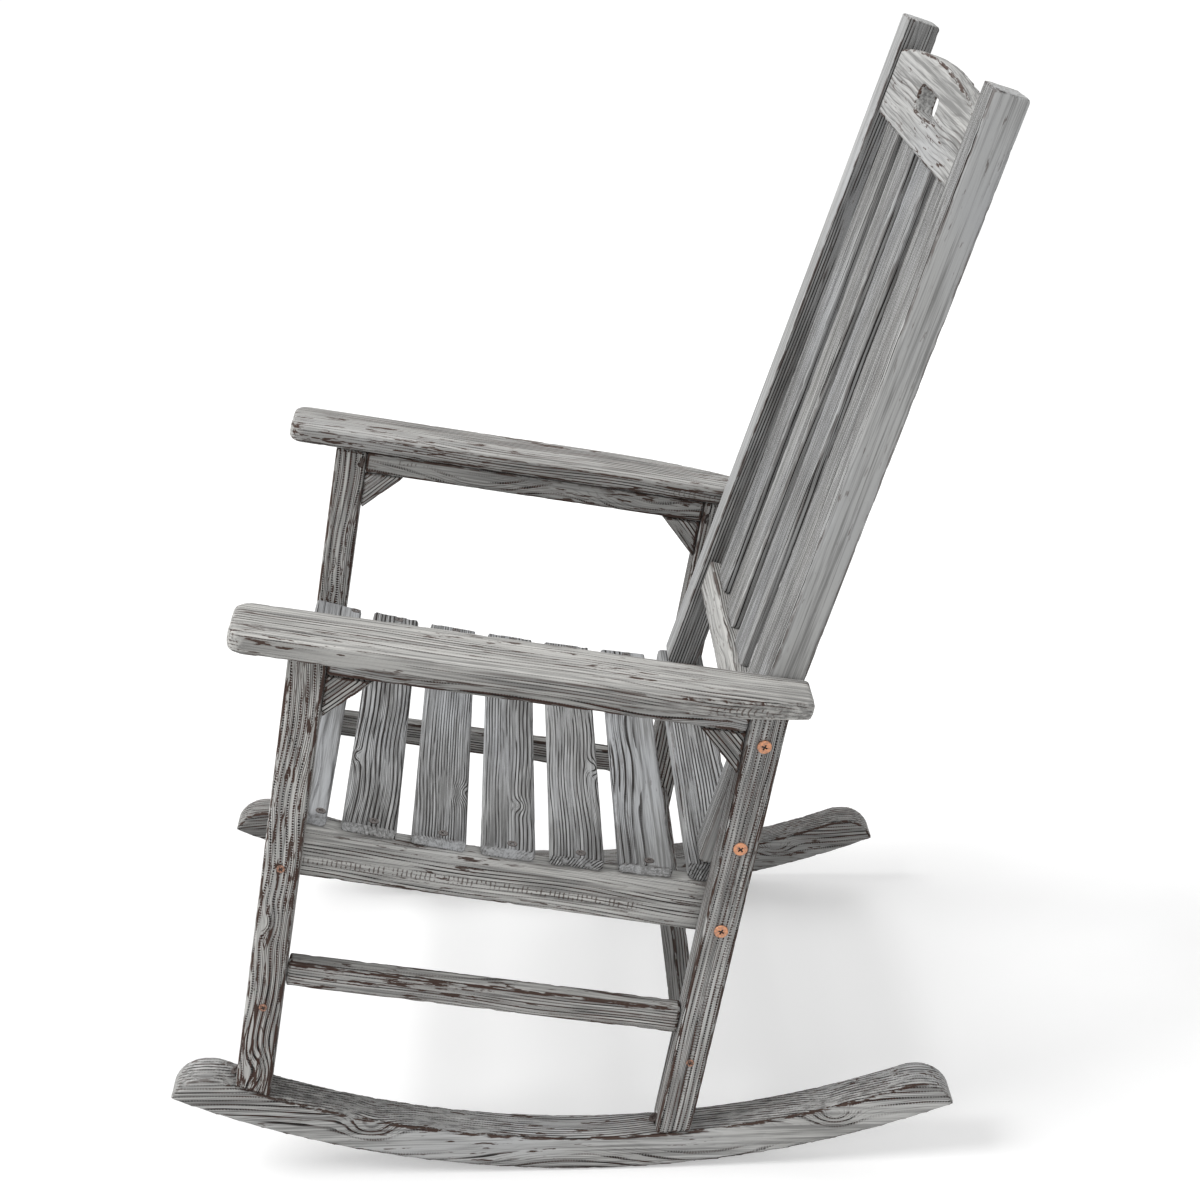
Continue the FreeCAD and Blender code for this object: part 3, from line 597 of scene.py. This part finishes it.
def wearBoard(board, name, slot):
    mesh = board.data
    count = len(mesh.vertices)
    places = np.zeros(count * 3)
    normals = np.zeros(count * 3, dtype=np.float32)
    mesh.vertices.foreach_get("co", places)
    mesh.vertex_normals.foreach_get("vector", normals)
    places = places.reshape(-1, 3)
    normals = normals.reshape(-1, 3).astype(float)
    arris = sharpness(mesh, places, normals)

    dice = random.Random(name)
    look = lookOf(name)
    ways = grainOf[slot]
    if name.startswith("corner_block_rear"):
        ways = (ways[1], ways[0], ways[2])
    axes = np.array([Vector(a).normalized() for a in ways])
    middle = (places.min(0) + places.max(0)) / 2
    local = (places - middle) @ axes.T

    move = np.zeros(count)
    seed = dice.uniform(0, 90)
    slow = boards["unevenPace"]
    quick = boards["chipPace"]
    for i in range(count):
        x, y, z = local[i]
        uneven = noise.noise(Vector((x * slow[0] + seed, y * slow[1], z * slow[2])))
        move[i] = -boards["unevenness"] * (0.5 + 0.5 * uneven)
        if arris[i] > 0.05:
            chip = noise.noise(Vector((x * quick[0] + seed, y * quick[1], z * quick[2])))
            nick = max(0.0, chip - boards["chipFrom"]) * boards["chipGain"]
            move[i] -= arris[i] * (boards["edgeRound"] + boards["chipDepth"] * min(nick, 1.0))
    places += normals * move[:, None]
    mesh.vertices.foreach_set("co", places.ravel())

    grooving = np.full(count, look["groove"] * dice.uniform(0.9, 1.1))
    facing = np.clip((np.abs(normals @ axes[0]) - 0.6) / 0.3, 0.0, 1.0)
    grooving *= 1.0 - (1.0 - look["ends"]) * facing
    if look["quiet"]:
        way, share = look["quiet"]
        facing = np.clip((normals @ np.array(way) - 0.6) / 0.3, 0.0, 1.0)
        grooving *= 1.0 - (1.0 - share) * facing
    radius, spread = spreadOf(ringField(look, dice), local, normals @ axes.T)
    grooving *= np.clip((spread - 0.05) / 0.45, 0.12, 1.0)
    addLayer(mesh, "grain", "FLOAT_VECTOR", local + np.array((dice.uniform(0, 40), 0.0, 0.0)))
    addLayer(mesh, "ring", "FLOAT", radius / look["rings"])
    addLayer(mesh, "arris", "FLOAT", arris)
    brown = look["brown"] * dice.uniform(0.8, 1.1)
    pale = look["pale"] * dice.uniform(0.92, 1.0)
    # painted shade: faces pointing across the grain keep only look['side'] of their paleness, standing in for the
    # shade on those sides
    sideways = np.clip((np.abs(normals @ axes[1]) - 0.5) / 0.4, 0.0, 1.0)
    pale = pale * (1.0 - (1.0 - look["side"]) * sideways)
    looks = np.column_stack([grooving, np.full(count, brown), pale])
    addLayer(mesh, "looks", "FLOAT_VECTOR", looks)
    cool = look["cool"] + dice.uniform(-0.12, 0.12)
    lane, tick = lanesOf(local, look)
    addLayer(mesh, "tick", "FLOAT", tick)
    habit = np.column_stack([np.full(count, look["bead"]), np.full(count, cool), lane])
    addLayer(mesh, "habit", "FLOAT_VECTOR", habit)
    mesh.update()


slotOf = {part["node"]: part["material_slot"] for part in frame["record"]["subparts"]}
for name in sorted(frame["nodes"]):
    if slotOf[name] != "fastener_metal":
        grownBoard(name, slotOf[name])
print("boards ready")


# Screws and bolts: a turned head with a driver recess for each CAD screw, on its own shank

screwHeads = {
    "frame_bolts": {"metal": "copper", "recess": 0.44, "arm": 0.12, "size": 1.0, "sink": 0.0},
    "frame_screws": {"metal": "dulled", "recess": 0.55, "arm": 0.17, "size": 1.0, "sink": 0.0},
    "slat_screws": {"metal": "rusty", "recess": 0.5, "arm": 0.16, "size": 0.75, "sink": 0.0006},
    "foot_screws": {"metal": "rusty", "recess": 0.5, "arm": 0.16, "size": 1.0, "sink": 0.0},
    "apron_screws": {"metal": "rusty", "recess": 0.5, "arm": 0.16, "size": 1.0, "sink": 0.0},
}


headMaking = {
    "sides": 40,
    "shankSides": 16,
    "sharpFrom": 40.0,
    "rim": 0.4,
    "rimSteps": 4,
    "recessDepth": 1.2,
    "hollowReach": 1.05,
    "hollowFrom": 0.05,
    "hollowTo": 0.97,
    "rimShare": 0.98,
}


def screwSizes(solid):
    # place of the head's seat, axis, head radius, head height, shank radius and length, from the solid's vertices
    points = np.array([v.co[:] for v in solid.data.vertices])
    middle = (points.min(0) + points.max(0)) / 2
    axis = np.linalg.svd(points - points.mean(0), full_matrices=False)[2][0]
    height = (points - middle) @ axis
    radius = np.linalg.norm(points - middle - np.outer(height, axis), axis=1)
    if height[radius.argmax()] < 0:
        axis, height = -axis, -height
    for i in range(2):
        rim = radius > radius.max() * headMaking["rimShare"]
        centre = points[rim].mean(0)
        flat = np.linalg.svd(points[rim] - centre, full_matrices=False)[2][2]
        if abs(flat @ axis) > 0.97:
            axis = flat * np.sign(flat @ axis)
        height = (points - centre) @ axis
        radius = np.linalg.norm(points - centre - np.outer(height, axis), axis=1)
    headRadius = radius.max()
    seat = height[radius > headRadius * headMaking["rimShare"]].min()
    shank = np.median(radius[height < seat - 0.002])
    return centre + axis * seat, axis, headRadius, height.max() - seat, shank, seat - height.min()


def crossPrism(reach, arm, depth):
    # a twelve-sided prism drawn into a cross
    bpy.ops.mesh.primitive_cylinder_add(vertices=12, radius=reach, depth=depth, location=(0.0, 0.0, 0.0))
    prism = bpy.context.active_object
    corners = ((reach, arm), (arm, arm), (arm, reach))
    corners = [(x * i, y * j) for x, y in corners for i in (1, -1) for j in (1, -1)]
    corners.sort(key=lambda corner: math.atan2(corner[1], corner[0]))
    for side in (1, -1):
        ring = [vertex for vertex in prism.data.vertices if vertex.co.z * side > 0]
        ring.sort(key=lambda vertex: math.atan2(vertex.co.y, vertex.co.x))
        for vertex, corner in zip(ring, corners):
            vertex.co.x, vertex.co.y = corner
    return prism


def makeHead(look, sizes):
    # drawn upright and in millimetres: seat on z = 0, head above, shank below
    headRadius, headHeight, shankRadius, length = [size * 1000.0 for size in sizes]
    headRadius *= look["size"]
    making = headMaking
    bpy.ops.mesh.primitive_cylinder_add(vertices=making["sides"], radius=headRadius, depth=headHeight,
                                        location=(0.0, 0.0, headHeight / 2))
    head = bpy.context.active_object
    bpy.ops.object.transform_apply(location=True)
    bpy.ops.object.mode_set(mode="EDIT")
    bpy.ops.mesh.select_all(action="DESELECT")
    bpy.ops.mesh.select_mode(type="EDGE")
    bpy.ops.mesh.edges_select_sharp(sharpness=math.radians(making["sharpFrom"]))
    bpy.ops.mesh.bevel(offset=headHeight * making["rim"], segments=making["rimSteps"], affect="EDGES")
    bpy.ops.mesh.select_mode(type="VERT")
    bpy.ops.object.mode_set(mode="OBJECT")
    reach = headRadius * look["recess"]
    arm = headRadius * look["arm"]
    cutter = crossPrism(reach, arm, headHeight * making["recessDepth"])
    cutter.data.transform(Matrix.Translation((0.0, 0.0, headHeight)))
    selectOnly(head)
    cut = head.modifiers.new("recess", "BOOLEAN")
    cut.operation = "DIFFERENCE"
    cut.solver = "EXACT"
    cut.object = cutter
    bpy.ops.object.modifier_apply(modifier=cut.name)
    bpy.data.objects.remove(cutter)
    head.data.materials.append(metals[look["metal"]])
    head.data.materials.append(metals["hollow"])
    # painted shade: faces inside the driver recess get the near-black recess material, on top of the shade its
    # depth casts
    for face in head.data.polygons:
        inside = math.hypot(face.center.x, face.center.y) < reach * making["hollowReach"]
        deep = headHeight * making["hollowFrom"] < face.center.z < headHeight * making["hollowTo"]
        face.material_index = 1 if inside and deep else 0
    bpy.ops.mesh.primitive_cylinder_add(vertices=making["shankSides"], radius=shankRadius, depth=length,
                                        location=(0.0, 0.0, -length / 2))
    shank = bpy.context.active_object
    bpy.ops.object.transform_apply(location=True)
    shank.data.materials.append(metals[look["metal"]])
    head.select_set(True)
    bpy.context.view_layer.objects.active = head
    bpy.ops.object.join()
    return head


def turnedScrews(name):
    look = screwHeads[name]
    copyOfSolid(name, name + "_rough")
    bpy.ops.object.mode_set(mode="EDIT")
    bpy.ops.mesh.select_all(action="SELECT")
    bpy.ops.mesh.separate(type="LOOSE")
    bpy.ops.object.mode_set(mode="OBJECT")
    made = []
    for solid in list(bpy.context.selected_objects):
        place, axis, headRadius, headHeight, shankRadius, length = screwSizes(solid)
        bpy.data.objects.remove(solid)
        head = makeHead(look, (headRadius, headHeight, shankRadius, length))
        spin = Quaternion((0.0, 0.0, 1.0), random.Random(str(place)).uniform(0.2, 1.3))
        turn = Vector((0.0, 0.0, 1.0)).rotation_difference(Vector(axis)) @ spin
        seat = Matrix.Translation(Vector(place) - Vector(axis) * look["sink"])
        head.data.transform(seat @ turn.to_matrix().to_4x4() @ Matrix.Scale(0.001, 4))
        made.append(head)
    bpy.ops.object.select_all(action="DESELECT")
    for head in made:
        head.select_set(True)
    bpy.context.view_layer.objects.active = made[0]
    bpy.ops.object.join()
    screws = bpy.context.active_object
    screws.name = name + "_turned"
    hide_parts(name)
    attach(screws, "root")


for name in screwHeads:
    turnedScrews(name)
print("screws ready")
